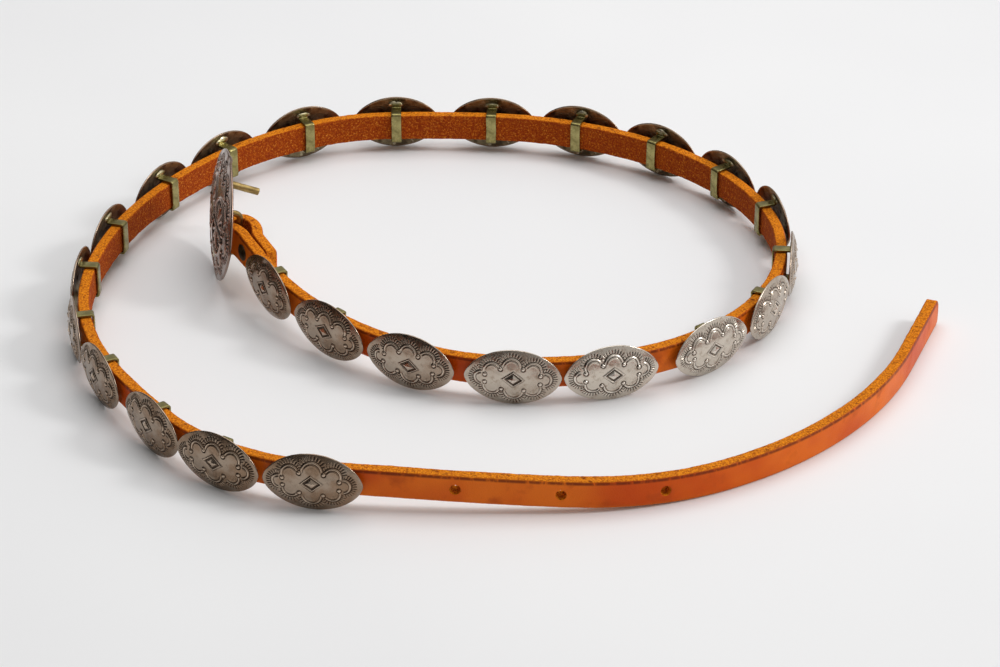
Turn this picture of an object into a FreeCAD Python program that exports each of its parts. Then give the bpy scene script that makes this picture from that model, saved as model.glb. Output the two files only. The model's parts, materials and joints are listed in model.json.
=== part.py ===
import FreeCAD, Part
import math
import os
import Sketcher

# Concho belt: one leather strap standing on edge in an open coil, 24 domed oval
# conchos with soldered keeper loops on its outer face, and a domed buckle plate
# on a bar round which the strap's end is folded and riveted.
# Millimetres, +Z up. The lower edges of the conchos rest on Z = 0.

V = FreeCAD.Vector
UP = V(0, 0, 1)

doc = FreeCAD.newDocument("ConchoBelt")

# ---------------------------------------------------------------- driving sizes
SIZES = {
    "strap_width": 9.5,       # across the leather, vertical as the belt stands
    "strap_thick": 4.0,
    "start_x": -93.65,        # where the strap leaves the fold round the bar
    "start_y": 23.15,
    "start_heading": -32.8,   # degrees from +X
    "fold_radius": 3.85,      # centreline of the leather round the bar
    "flap_length": 20.7,      # folded end, back along the inner face
    "flap_close": 9.0,        # where the flap comes to lie along the strap
    "flap_slit": 0.3,         # left between the flap and the strap from there on
    "fold_lift": 6.42,        # how far the buckle end stands higher than the rest
    "lift_length": 129.2,     # over which that rise fades out
    "drop_length": 134.0,     # over which the tail comes down to the surface
    "strap_length": 1054.3,   # from the fold to the tip
    "tip_round": 2.0,
    "knuckle_gap": 0.3,       # clearance in the strap's bending places
    "concho_length": 32.0,
    "concho_height": 20.0,
    "concho_dome": 2.5,
    "concho_sheet": 0.8,
    "concho_gap": 0.9,        # from the leather to the plane of the rim
    "first_concho": 31.8,     # station of the first concho
    "concho_pitch": 33.0,
    "keeper_band": 3.6,       # width of the loop's strip along the strap
    "keeper_sheet": 0.8,
    "keeper_clear": 0.3,      # all round the leather
    "keeper_reach": 1.2,      # how far its feet stand into the dome
    "plate_length": 61.2,
    "plate_height": 43.2,
    "plate_dome": 3.3,
    "plate_sheet": 1.1,
    "plate_heading": -81.6,
    "plate_lean": 9.0,        # its face looks a little upwards
    "plate_lift": 0.2,        # of the centre above the half height on the slant
    "bar_rod": 2.2,
    "bar_standoff": 5.0,      # from the plane of the plate's rim
    "bar_offset": 4.7,        # from the plate's centre towards the strap
    "bar_span": 15.0,         # between the centrelines of its two legs
    "bar_bend": 2.2,
    "bar_short": 1.12,        # from the top of the dome down to its legs' ends
    "prong_rod": 2.6,
    "prong_length": 16.0,
    "prong_offset": 26.0,     # from the plate's centre away from the strap
    "prong_droop": 12.0,
    "prong_foot": 4.6,        # diameter of its soldered foot
    "prong_worn": 0.3,        # rounding of its free end
    "rivet_shank": 2.5,
    "rivet_head": 6.0,
    "rivet_thick": 0.6,
    "rivet_play": 0.25,       # under the head on the flap's side
    "rivet_station": 10.4,
    "hole_bore": 3.2,
    "first_hole": 43.7,       # from the last concho
    "hole_pitch": 32.6,
}

# The strap's bends from the fold to the tip: length along the strap, degrees turned.
BENDS = [
    (6, -29.4), (23.3, 1.4), (68, 34), (65, 41), (69, 48), (65, 45.5), (64, 36.5),
    (64, 31.5), (35, 6), (34, 26.5), (34, 18), (102, 39), (65, 33.5), (39, 8.5),
    (61, 45.5), (25, 3.5), (50, 5.5), (50, 26), (50, 21), (50, 21), (45, 0.5),
]

# How far each concho lies from its even place, where it was last pushed to.
SLIPS = [
    1.5, 1.2, 0.5, 1.2, -0.6, 2.8, 2.2, 0.3, 0.8, -0.9, -2.0, -3.4,
    -4.0, -2.0, -1.1, 0.3, -0.8, 2.3, 1.0, 2.0, 0.4, 3.4, 1.0, -0.5,
]

# The strap is modelled in four runs that bend where one meets the next.
LAST_CONCHO_OF_BUCKLE_RUN = 8
LAST_CONCHO_OF_BACK_RUN = 19
TAIL_BEND_PAST_LAST_CONCHO = 19.0

SECTION_STEP = 6.0     # along the strap, between the sections of its solids
FOLD_STEP = 1.4        # the same beside the flap
FOLD_STEPS = 16        # round the bar
KNUCKLE_REACH = 20.0   # longer than the strap is wide
PRONG_SUNK = 0.25      # how deep the prong's foot is soldered into the plate

sheet = doc.addObject("Spreadsheet::Sheet", "Sizes")
for row, (alias, number) in enumerate(SIZES.items(), start=1):
    sheet.set("A%d" % row, alias)
    sheet.set("B%d" % row, str(number))
    sheet.setAlias("B%d" % row, alias)
doc.recompute()


def size(alias):
    return float(sheet.get(alias))


def bind(feature, **expressions):
    """Ties properties of a feature to cells of the sheet."""
    for name, expression in expressions.items():
        feature.setExpression(name, expression)


# ---------------------------------------------------------------- the strap's path
def ramp(t):
    t = min(max(t, 0.0), 1.0)
    return t * t * (3 - 2 * t)


def concho_station(number):
    even = size("first_concho") + size("concho_pitch") * (number - 1)
    return even + SLIPS[number - 1]


def height_at(station):
    """Height of the strap's centreline: lifted at the buckle, lowered along the tail."""
    level = size("concho_height") / 2
    lift = size("fold_lift") * max(0.0, 1 - station / size("lift_length")) ** 2
    fall = level - size("strap_width") / 2
    past = station - concho_station(len(SLIPS))
    return level + lift - fall * ramp(past / size("drop_length"))


def plan_at(station):
    """Place and heading, in the plane, of a point of the strap's centreline."""
    x = size("start_x")
    y = size("start_y")
    heading = math.radians(size("start_heading"))
    left = station
    for length, degrees in BENDS:
        bend = math.radians(degrees) / length
        step = min(left, length)
        turned = heading + bend * step
        x += (math.sin(turned) - math.sin(heading)) / bend
        y -= (math.cos(turned) - math.cos(heading)) / bend
        heading = turned
        left -= step
        if left <= 0:
            break
    return x, y, heading


def outward(heading):
    """The side of the strap that carries the conchos: right of its heading."""
    return V(math.sin(heading), -math.cos(heading), 0)


def lean_at(station):
    """Upward direction of the leather: it twists to the bar's lean before the fold."""
    full = math.tan(math.radians(size("plate_lean")))
    clear = size("first_concho") - size("keeper_band")
    share = 1 - ramp(station / clear)
    back = outward(math.radians(size("plate_heading"))) * -1
    return (UP + back * full * share).normalize()


def point_at(station):
    x, y, heading = plan_at(max(station, 0.0))
    return V(x, y, height_at(station)), heading


def frame_at(station):
    """Origin, tangent, outward normal and upward direction at a station."""
    here, heading = point_at(station)
    ahead = point_at(station + 0.5)[0]
    behind = point_at(max(station - 0.5, 0.0))[0]
    tangent = (ahead - behind).normalize()
    normal = outward(heading)
    up = normal.cross(tangent).normalize()
    return here, tangent, normal, up


def section(centre, thickness_way, up):
    """A rectangle of leather across the strap."""
    t = thickness_way * (size("strap_thick") / 2)
    w = up * (size("strap_width") / 2)
    return Part.makePolygon([
        centre - t - w, centre + t - w, centre + t + w, centre - t + w, centre - t - w,
    ])


def strap_section(station):
    here, heading = point_at(station)
    up = lean_at(station)
    tangent = V(math.cos(heading), math.sin(heading), 0)
    return section(here, tangent.cross(up).normalize(), up)


def flap_spot(along):
    """Centre of the flap beside a station: it leaves the turn and closes on the strap."""
    here, heading = point_at(along)
    closed = size("strap_thick") + size("flap_slit")
    opening = 2 * size("fold_radius") - closed
    away = closed + opening * (1 - ramp(along / size("flap_close")))
    return here - outward(heading) * away


def flap_section(along):
    way = flap_spot(along + FOLD_STEP / 2) - flap_spot(max(along - FOLD_STEP / 2, 0.0))
    side = V(-way.y, way.x, 0).normalize()
    return section(flap_spot(along), side, lean_at(along))


def fold_sections():
    """The flap along the inner face, the turn round the bar and the strap beside them."""
    here, heading = point_at(0.0)
    radius = size("fold_radius")
    normal = outward(heading)
    forward = V(math.cos(heading), math.sin(heading), 0)
    up = lean_at(0.0)
    steps = round(size("flap_length") / FOLD_STEP)
    wires = [flap_section(size("flap_length") * i / steps) for i in range(steps, 0, -1)]
    for i in range(FOLD_STEPS):
        angle = math.pi * i / FOLD_STEPS
        side = normal * -math.cos(angle) - forward * math.sin(angle)
        spot = here - normal * radius + side * radius
        across = side - up * side.dot(up)
        wires.append(section(spot, across.normalize(), up))
    wires += [strap_section(size("flap_length") * i / steps) for i in range(steps)]
    return wires


def stations_between(first, last):
    count = max(1, round((last - first) / SECTION_STEP))
    return [first + (last - first) * i / count for i in range(count + 1)]


def run_solid(first, last, leading=()):
    wires = list(leading) + [strap_section(s) for s in stations_between(first, last)]
    return Part.makeLoft(wires, True, True)


def upright_cylinder(station, radius):
    here = point_at(station)[0]
    base = here - UP * (KNUCKLE_REACH / 2)
    return Part.makeCylinder(radius, KNUCKLE_REACH, base, UP)


def rounded_end(solid, station):
    """Adds the half-round knuckle on which the next run turns."""
    here = point_at(station)[0]
    base = here - UP * (size("strap_width") / 2)
    knuckle = Part.makeCylinder(size("strap_thick") / 2, size("strap_width"), base, UP)
    return solid.fuse(knuckle).removeSplitter()


def hollow_end(solid, station):
    """Cuts the hollow in which the neighbour's knuckle turns."""
    return solid.cut(upright_cylinder(station, size("strap_thick") / 2 + size("knuckle_gap")))


def bend_stations():
    def between(number):
        return (concho_station(number) + concho_station(number + 1)) / 2

    return (
        between(LAST_CONCHO_OF_BUCKLE_RUN),
        between(LAST_CONCHO_OF_BACK_RUN),
        concho_station(len(SLIPS)) + TAIL_BEND_PAST_LAST_CONCHO,
    )


def hole_stations():
    first = concho_station(len(SLIPS)) + size("first_hole")
    return [first + size("hole_pitch") * i for i in range(3)]


def drilled(solid, station, diameter, reach):
    """Cuts a round hole through the leather, from its inner side outwards."""
    here, tangent, normal, up = frame_at(station)
    start = here - normal * reach
    return solid.cut(Part.makeCylinder(diameter / 2, 2 * reach, start, normal))


def strap_feature(label, shape):
    feature = doc.addObject("Part::Feature", label)
    feature.Shape = shape
    feature.Placement = FreeCAD.Placement()
    feature.Label = label
    return feature


def make_strap():
    """The four runs of the strap."""
    right_bend, left_bend, tail_bend = bend_stations()
    buckle_run = run_solid(size("flap_length"), right_bend, fold_sections())
    buckle_run = drilled(
        buckle_run, size("rivet_station"), size("rivet_shank"), 2.5 * size("strap_thick")
    )
    back_run = run_solid(right_bend, left_bend)
    front_run = run_solid(left_bend, tail_bend)
    tail = run_solid(tail_bend, size("strap_length"))
    tip = point_at(size("strap_length"))[0]
    corners = [
        edge for edge in tail.Edges
        if abs(edge.Length - size("strap_thick")) < 0.01
        and (edge.CenterOfMass - tip).Length < size("strap_width")
    ]
    tail = tail.makeFillet(size("tip_round"), corners)
    for station in hole_stations():
        tail = drilled(tail, station, size("hole_bore"), size("strap_thick"))
    return [
        strap_feature("strap_buckle_run", hollow_end(buckle_run, right_bend)),
        strap_feature(
            "strap_back_run", rounded_end(rounded_end(back_run, right_bend), left_bend)
        ),
        strap_feature(
            "strap_front_run",
            rounded_end(hollow_end(front_run, left_bend), tail_bend),
        ),
        strap_feature("strap_tail", hollow_end(tail, tail_bend)),
    ]


# ---------------------------------------------------------------- placements
def placed(origin, x_way, z_way):
    """Placement whose local X and Z lie along the two given directions."""
    y_way = z_way.cross(x_way).normalize()
    turn = FreeCAD.Rotation(x_way, y_way, z_way, "ZXY")
    return FreeCAD.Placement(origin, turn)


def concho_placement(number):
    """Rim plane's centre: local X along the strap, local Z out of the dome."""
    here, tangent, normal, up = frame_at(concho_station(number))
    rim = here + normal * (size("strap_thick") / 2 + size("concho_gap"))
    return placed(rim, tangent, normal)


def plate_placement():
    """Rim plane's centre of the buckle plate, found from the bar in the fold."""
    heading = math.radians(size("plate_heading"))
    lean = math.radians(size("plate_lean"))
    along = V(math.cos(heading), math.sin(heading), 0)
    face = outward(heading) * math.cos(lean) + UP * math.sin(lean)
    bar = bar_centre()
    centre = bar + face * size("bar_standoff") - along * size("bar_offset")
    height = size("plate_height") / 2 * math.cos(lean) + size("plate_lift")
    slant = face.cross(along)
    centre += slant * ((height - centre.z) / slant.z)
    return placed(centre, along, face)


def bar_centre():
    here, heading = point_at(0.0)
    return here - outward(heading) * size("fold_radius")


# ---------------------------------------------------------------- domed oval plates
def domed_plate(label, prefix, placement):
    """Oval cap of sheet metal: one ellipsoid cap less the same one a sheet lower."""
    length = "Sizes.%s_length" % prefix
    height = "Sizes.%s_height" % prefix
    dome = "Sizes.%s_dome" % prefix
    radius = "((%s / 2) ^ 2 + %s ^ 2) / (2 * %s)" % (length, dome, dome)
    low = "asin(1 - %s / (%s))" % (dome, radius)
    caps = []
    for part_name, sink in (("outer", "0"), ("inner", "Sizes.%s_sheet" % prefix)):
        cap = doc.addObject("Part::Ellipsoid", "%s_%s" % (label, part_name))
        bind(
            cap,
            Radius1=radius,
            Radius2=radius,
            Radius3="(%s) * %s / %s" % (radius, height, length),
        )
        cap.setExpression("Placement.Base.z", "%s - (%s) - %s" % (dome, radius, sink))
        caps.append(cap)
    bind(caps[0], Angle1=low)
    plate = doc.addObject("Part::Cut", label)
    plate.Base, plate.Tool = caps
    plate.Placement = placement
    plate.Label = label
    return plate


# ---------------------------------------------------------------- keeper loops
def keeper_loop(label, placement):
    """Strip bent to a U round the leather, its two feet soldered into the dome."""
    wide = "(Sizes.strap_width + 2 * Sizes.keeper_clear)"
    deep = "(Sizes.strap_thick + Sizes.concho_gap + Sizes.keeper_clear)"
    outer = doc.addObject("Part::Box", label + "_outer")
    bind(
        outer,
        Length="Sizes.keeper_band",
        Width=wide + " + 2 * Sizes.keeper_sheet",
        Height=deep + " + Sizes.keeper_sheet + Sizes.keeper_reach",
    )
    outer.setExpression("Placement.Base.x", "-Sizes.keeper_band / 2")
    outer.setExpression("Placement.Base.y", "-%s / 2 - Sizes.keeper_sheet" % wide)
    outer.setExpression("Placement.Base.z", "-%s - Sizes.keeper_sheet" % deep)
    space = doc.addObject("Part::Box", label + "_space")
    bind(space, Length="2 * Sizes.keeper_band", Width=wide, Height=deep + " * 2")
    space.setExpression("Placement.Base.x", "-Sizes.keeper_band")
    space.setExpression("Placement.Base.y", "-%s / 2" % wide)
    space.setExpression("Placement.Base.z", "-" + deep)
    strip = doc.addObject("Part::Cut", label + "_strip")
    strip.Base = outer
    strip.Tool = space
    doc.recompute()
    low = outer.Placement.Base.z
    half = float(outer.Width) / 2
    bends = [
        number for number, edge in enumerate(strip.Shape.Edges, start=1)
        if abs(edge.CenterOfMass.z - low) < 0.01
        and abs(abs(edge.CenterOfMass.y) - half) < 0.01
    ]
    loop = doc.addObject("Part::Fillet", label)
    loop.Base = strip
    radius = 1.2 * size("keeper_sheet")
    loop.Edges = [(number, radius, radius) for number in bends]
    loop.Placement = placement
    loop.Label = label
    return loop


# ---------------------------------------------------------------- buckle fittings
def origin_plane(body, role):
    return next(f for f in body.Origin.OriginFeatures if f.Role == role)


def new_sketch(body, role, name):
    sketch = body.newObject("Sketcher::SketchObject", name)
    sketch.AttachmentSupport = (origin_plane(body, role), "")
    sketch.MapMode = "FlatFace"
    return sketch


def dimension(sketch, name, constraint, expression):
    """Adds a named dimension to a sketch and ties it to the sheet."""
    index = sketch.addConstraint(constraint)
    sketch.renameConstraint(index, name)
    sketch.setExpression("Constraints." + name, expression)


def circle_sketch(body, role, name, diameter, across=None):
    """A circle on the origin, or moved along the sketch's X by an expression."""
    sketch = new_sketch(body, role, name)
    offset = 1.0 if across else 0.0
    sketch.addGeometry(Part.Circle(V(offset, 0, 0), UP, 1.0), False)
    dimension(sketch, "across", Sketcher.Constraint("Diameter", 0, 2.0), diameter)
    if across:
        sketch.addConstraint(Sketcher.Constraint("PointOnObject", 0, 3, -1))
        dimension(
            sketch, "aside", Sketcher.Constraint("DistanceX", -1, 1, 0, 3, 1.0), across
        )
    else:
        sketch.addConstraint(Sketcher.Constraint("Coincident", 0, 3, -1, 1))
    return sketch


def make_bar():
    """Round rod bent to a U: the bar stands off the plate on its two legs."""
    body = doc.addObject("PartDesign::Body", "buckle_bar")
    route = new_sketch(body, "YZ_Plane", "bar_route")
    half = size("bar_span") / 2
    deep = size("bar_standoff")
    bend = size("bar_bend")
    reach = size("plate_dome") - size("bar_short")
    legs = (
        Part.LineSegment(V(-half, reach, 0), V(-half, bend - deep, 0)),
        Part.ArcOfCircle(
            Part.Circle(V(bend - half, bend - deep, 0), UP, bend), math.pi, 1.5 * math.pi
        ),
        Part.LineSegment(V(bend - half, -deep, 0), V(half - bend, -deep, 0)),
        Part.ArcOfCircle(
            Part.Circle(V(half - bend, bend - deep, 0), UP, bend), 1.5 * math.pi, 2 * math.pi
        ),
        Part.LineSegment(V(half, bend - deep, 0), V(half, reach, 0)),
    )
    for piece in legs:
        route.addGeometry(piece, False)
    for first, first_end, second, second_end in (
        (0, 2, 1, 1), (1, 2, 2, 1), (2, 2, 3, 1), (3, 2, 4, 1),
    ):
        route.addConstraint(
            Sketcher.Constraint("Tangent", first, first_end, second, second_end)
        )
    route.addConstraint(Sketcher.Constraint("Vertical", 0))
    route.addConstraint(Sketcher.Constraint("Horizontal", 2))
    route.addConstraint(Sketcher.Constraint("Vertical", 4))
    route.addConstraint(Sketcher.Constraint("Horizontal", 0, 1, 4, 2))
    route.addConstraint(Sketcher.Constraint("Equal", 1, 3))
    dimension(route, "bend", Sketcher.Constraint("Radius", 1, bend), "Sizes.bar_bend")
    dimension(
        route, "span", Sketcher.Constraint("DistanceX", 0, 1, 4, 2, 2 * half), "Sizes.bar_span"
    )
    dimension(
        route, "side", Sketcher.Constraint("DistanceX", 0, 1, -1, 1, half),
        "Sizes.bar_span / 2",
    )
    dimension(
        route, "standoff", Sketcher.Constraint("DistanceY", 2, 1, -1, 1, deep),
        "Sizes.bar_standoff",
    )
    dimension(
        route, "reach", Sketcher.Constraint("DistanceY", -1, 1, 0, 1, reach),
        "Sizes.plate_dome - Sizes.bar_short",
    )
    wire = circle_sketch(body, "XZ_Plane", "bar_round", "Sizes.bar_rod")
    wire.AttachmentSupport = [(route, "Edge3")]
    wire.MapMode = "NormalToEdge"
    rod = body.newObject("PartDesign::AdditivePipe", "bar_rod")
    rod.Profile = wire
    rod.Spine = (route, ["Edge1", "Edge2", "Edge3", "Edge4", "Edge5"])
    plate = plate_placement()
    shift = FreeCAD.Placement(V(size("bar_offset"), bar_side(), 0), FreeCAD.Rotation())
    body.Placement = plate.multiply(shift)
    body.Label = "buckle_bar"
    return body


def bar_side():
    """How far the bar's middle lies off the plate's long axis."""
    return plate_placement().inverse().multVec(bar_centre()).y


def make_prong():
    """Round stud with a soldered foot, standing out of the plate's hollow back."""
    body = doc.addObject("PartDesign::Body", "prong")
    stud = body.newObject("PartDesign::Pad", "stud")
    stud.Profile = circle_sketch(body, "XY_Plane", "stud_round", "Sizes.prong_rod")
    bind(stud, Length="Sizes.prong_length")
    foot = body.newObject("PartDesign::Pad", "foot")
    foot.Profile = circle_sketch(body, "XY_Plane", "foot_round", "Sizes.prong_foot")
    foot.setExpression("Length", "Sizes.plate_dome / 4")
    doc.recompute()
    rim = [
        "Edge%d" % number for number, edge in enumerate(foot.Shape.Edges, start=1)
        if edge.CenterOfMass.z > size("prong_length") - 0.01
    ]
    worn = body.newObject("PartDesign::Fillet", "worn_end")
    worn.Base = (foot, rim)
    bind(worn, Radius="Sizes.prong_worn")
    plate = plate_placement()
    droop = FreeCAD.Rotation(V(1, 0, 0), 180 - size("prong_droop"))
    root = V(-size("prong_offset"), 0, prong_root_height())
    body.Placement = plate.multiply(FreeCAD.Placement(root, droop))
    body.Label = "prong"
    return body


def prong_root_height():
    """Height of the hollow side of the plate above its rim plane, at the prong."""
    half = size("plate_length") / 2
    dome = size("plate_dome")
    radius = (half ** 2 + dome ** 2) / (2 * dome)
    top = math.sqrt(radius ** 2 - size("prong_offset") ** 2) - radius + dome
    return max(top - size("plate_sheet"), 0.0) + PRONG_SUNK


def make_rivet():
    """Tubular rivet through the strap and the flap, with a flat head on each side."""
    body = doc.addObject("PartDesign::Body", "fold_rivet")
    reach = "2 * Sizes.strap_thick + Sizes.flap_slit + Sizes.rivet_thick + Sizes.rivet_play"
    shank = body.newObject("PartDesign::Pad", "shank")
    shank.Profile = circle_sketch(body, "XY_Plane", "shank_round", "Sizes.rivet_shank")
    bind(shank, Length=reach)
    head = body.newObject("PartDesign::Pad", "head")
    head.Profile = circle_sketch(body, "XY_Plane", "head_round", "Sizes.rivet_head")
    bind(head, Length="Sizes.rivet_thick")
    burr_round = circle_sketch(body, "XY_Plane", "burr_round", "Sizes.rivet_head")
    burr_round.setExpression("AttachmentOffset.Base.z", reach)
    burr = body.newObject("PartDesign::Pad", "burr")
    burr.Profile = burr_round
    bind(burr, Length="Sizes.rivet_thick")
    here, tangent, normal, up = frame_at(size("rivet_station"))
    face = here + normal * (size("strap_thick") / 2 + size("rivet_thick"))
    body.Placement = placed(face, tangent, normal * -1)
    body.Label = "fold_rivet"
    return body


# ---------------------------------------------------------------- the whole belt
def make_belt():
    parts = make_strap()
    for number in range(1, len(SLIPS) + 1):
        place = concho_placement(number)
        parts.append(domed_plate("concho_%02d" % number, "concho", place))
        parts.append(keeper_loop("keeper_%02d" % number, place))
    parts.append(domed_plate("buckle_plate", "plate", plate_placement()))
    parts.append(make_bar())
    parts.append(make_prong())
    parts.append(make_rivet())
    return parts


def check(parts):
    for feature in doc.Objects:
        if "Invalid" in feature.State or "Error" in feature.State:
            raise RuntimeError("%s did not recompute: %s" % (feature.Name, feature.State))
    for part in parts:
        if part.Shape.isNull() or not part.Shape.isValid():
            raise RuntimeError("%s has no valid shape" % part.Label)
        if len(part.Shape.Solids) != 1:
            raise RuntimeError("%s is not one solid" % part.Label)


def export(parts):
    os.makedirs("parts", exist_ok=True)
    for part in parts:
        part.Shape.exportStep("parts/%s.step" % part.Label)


def main():
    parts = make_belt()
    doc.recompute()
    check(parts)
    export(parts)
    box = FreeCAD.BoundBox()
    for part in parts:
        box.add(part.Shape.BoundBox)
    print("parts %d, box %s" % (len(parts), box))
    return parts


if __name__ == "__main__":
    main()
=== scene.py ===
import json
import math

import bmesh
import bpy
import numpy as np
from mathutils import Matrix, Vector

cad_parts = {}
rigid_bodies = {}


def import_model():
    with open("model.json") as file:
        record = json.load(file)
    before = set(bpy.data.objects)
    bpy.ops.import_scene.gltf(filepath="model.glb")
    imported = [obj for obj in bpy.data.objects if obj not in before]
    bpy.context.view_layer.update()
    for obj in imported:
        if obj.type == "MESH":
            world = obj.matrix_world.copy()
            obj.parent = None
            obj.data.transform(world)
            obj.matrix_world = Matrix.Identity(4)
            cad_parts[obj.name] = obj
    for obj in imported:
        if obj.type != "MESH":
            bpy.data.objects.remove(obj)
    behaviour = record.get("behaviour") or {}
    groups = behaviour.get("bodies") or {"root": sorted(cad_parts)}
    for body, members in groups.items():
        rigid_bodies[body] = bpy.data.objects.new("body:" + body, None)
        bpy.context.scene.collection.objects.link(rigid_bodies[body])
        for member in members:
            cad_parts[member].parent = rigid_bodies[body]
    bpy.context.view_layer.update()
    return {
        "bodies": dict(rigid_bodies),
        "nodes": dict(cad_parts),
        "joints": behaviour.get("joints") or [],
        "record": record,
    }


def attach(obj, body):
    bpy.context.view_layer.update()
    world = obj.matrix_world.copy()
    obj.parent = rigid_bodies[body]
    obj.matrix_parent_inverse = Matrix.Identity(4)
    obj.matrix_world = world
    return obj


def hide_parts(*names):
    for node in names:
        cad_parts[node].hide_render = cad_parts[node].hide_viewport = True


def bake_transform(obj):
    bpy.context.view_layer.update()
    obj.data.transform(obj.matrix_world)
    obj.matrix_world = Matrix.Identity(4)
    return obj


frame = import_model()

# Concho belt laid in an open coil on its edge. Lengths are in millimetres up to the
# point where a mesh is made, and the strap's path repeats the one of the CAD model.

MM = 0.001

# ---------------------------------------------------------------- the belt's sizes
STRAP_HALF_WIDTH = 4.75
STRAP_HALF_THICK = 2.0
START = (-93.65, 23.15)
START_HEADING = -32.8
FOLD_RADIUS = 3.85
FLAP_LENGTH = 20.7
FLAP_CLOSE = 9.0
FLAP_SLIT = 0.3
FOLD_LIFT = 6.42
LIFT_LENGTH = 129.2
DROP_LENGTH = 134.0
STRAP_LENGTH = 1054.3
CONCHO_HALF_LENGTH = 16.0
CONCHO_HALF_HEIGHT = 10.0
CONCHO_GAP = 0.9
FIRST_CONCHO = 31.8
CONCHO_PITCH = 33.0
KEEPER_BAND = 3.6
PLATE_HALF_LENGTH = 30.6
PLATE_HALF_HEIGHT = 21.6
PLATE_HEADING = -81.6
PLATE_LEAN = 9.0
PLATE_LIFT = 0.2
BAR_STANDOFF = 5.0
BAR_OFFSET = 4.7
BAR_SPAN = 15.0
BAR_ROD = 2.2
BAR_BEND = 2.2
PRONG_OFFSET = 26.0
PRONG_DROOP = 12.0
PRONG_LENGTH = 16.0
PRONG_RADIUS = 1.3
RIVET_STATION = 10.4
HOLE_RADIUS = 1.6
FIRST_HOLE = 43.7
HOLE_PITCH = 32.6
HOLES = 3

# Each bend: its length along the strap and the degrees it turns through.
BENDS = [
    (6, -29.4), (23.3, 1.4), (68, 34), (65, 41), (69, 48), (65, 45.5), (64, 36.5),
    (64, 31.5), (35, 6), (34, 26.5), (34, 18), (102, 39), (65, 33.5), (39, 8.5),
    (61, 45.5), (25, 3.5), (50, 5.5), (50, 26), (50, 21), (50, 21), (45, 0.5),
]
# How far each concho sits from its even place.
SLIPS = [
    1.5, 1.2, 0.5, 1.2, -0.6, 2.8, 2.2, 0.3, 0.8, -0.9, -2.0, -3.4,
    -4.0, -2.0, -1.1, 0.3, -0.8, 2.3, 1.0, 2.0, 0.4, 3.4, 1.0, -0.5,
]
CONCHOS = len(SLIPS)
UP = Vector((0, 0, 1))


# ---------------------------------------------------------------- the strap's path
def ramp(t):
    t = min(max(t, 0.0), 1.0)
    return t * t * (3 - 2 * t)


def concho_station(number):
    return FIRST_CONCHO + CONCHO_PITCH * (number - 1) + SLIPS[number - 1]


def height_at(station):
    lift = FOLD_LIFT * max(0.0, 1 - station / LIFT_LENGTH) ** 2
    fall = CONCHO_HALF_HEIGHT - STRAP_HALF_WIDTH
    past = station - concho_station(CONCHOS)
    return CONCHO_HALF_HEIGHT + lift - fall * ramp(past / DROP_LENGTH)


def plan_at(station):
    x, y = START
    heading = math.radians(START_HEADING)
    left = station
    for length, degrees in BENDS:
        bend = math.radians(degrees) / length
        turned = heading + bend * min(left, length)
        x += (math.sin(turned) - math.sin(heading)) / bend
        y -= (math.cos(turned) - math.cos(heading)) / bend
        heading = turned
        left -= length
        if left <= 0:
            break
    return x, y, heading


def outward(heading):
    return Vector((math.sin(heading), -math.cos(heading), 0))


def lean_at(station):
    full = math.tan(math.radians(PLATE_LEAN))
    share = 1 - ramp(station / (FIRST_CONCHO - KEEPER_BAND))
    back = outward(math.radians(PLATE_HEADING)) * -1
    return (UP + back * full * share).normalized()


def point_at(station):
    x, y, heading = plan_at(max(station, 0.0))
    return Vector((x, y, height_at(station))), heading


def frame_at(station):
    """Origin, tangent, outward normal and upward direction at a station."""
    here, heading = point_at(station)
    ahead = point_at(station + 0.5)[0]
    behind = point_at(max(station - 0.5, 0.0))[0]
    tangent = (ahead - behind).normalized()
    normal = outward(heading)
    return here, tangent, normal, normal.cross(tangent).normalized()


def placement(origin, x_way, z_way):
    """Matrix, for a mesh already in metres, with local X and Z along two directions."""
    y_way = z_way.cross(x_way).normalized()
    x_way = y_way.cross(z_way)
    turn = Matrix((x_way, y_way, z_way)).transposed().to_4x4()
    return Matrix.Translation(origin * MM) @ turn


def concho_placement(number):
    here, tangent, normal, _up = frame_at(concho_station(number))
    return placement(here + normal * (STRAP_HALF_THICK + CONCHO_GAP), tangent, normal)


def bar_centre():
    here, heading = point_at(0.0)
    return here - outward(heading) * FOLD_RADIUS


def plate_placement():
    heading = math.radians(PLATE_HEADING)
    lean = math.radians(PLATE_LEAN)
    along = Vector((math.cos(heading), math.sin(heading), 0))
    face = outward(heading) * math.cos(lean) + UP * math.sin(lean)
    centre = bar_centre() + face * BAR_STANDOFF - along * BAR_OFFSET
    slant = face.cross(along)
    height = PLATE_HALF_HEIGHT * math.cos(lean) + PLATE_LIFT
    centre += slant * ((height - centre.z) / slant.z)
    return placement(centre, along, face)


# ---------------------------------------------------------------- noise and windows
def lattice_noise(x, y, seed):
    """Smooth noise from -1 to 1 on arrays of coordinates."""
    table = np.random.default_rng(seed).random((256, 256)) * 2 - 1
    column = np.floor(x).astype(int)
    row = np.floor(y).astype(int)
    u = x - column
    v = y - row
    u = u * u * (3 - 2 * u)
    v = v * v * (3 - 2 * v)
    near = table[column & 255, row & 255] * (1 - u) + table[(column + 1) & 255, row & 255] * u
    row = row + 1
    far = table[column & 255, row & 255] * (1 - u) + table[(column + 1) & 255, row & 255] * u
    return near * (1 - v) + far * v


def fractal(x, y, seed, octaves=3):
    total = np.zeros(np.broadcast(x, y).shape)
    for octave in range(octaves):
        total = total + lattice_noise(x * 2 ** octave, y * 2 ** octave, seed + octave) / 2 ** octave
    return total / 1.75


def smooth_step(low, high, value):
    t = np.clip((value - low) / (high - low), 0, 1)
    return t * t * (3 - 2 * t)


def hump(distance, width):
    return np.exp(-(distance / width) ** 2)


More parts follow.
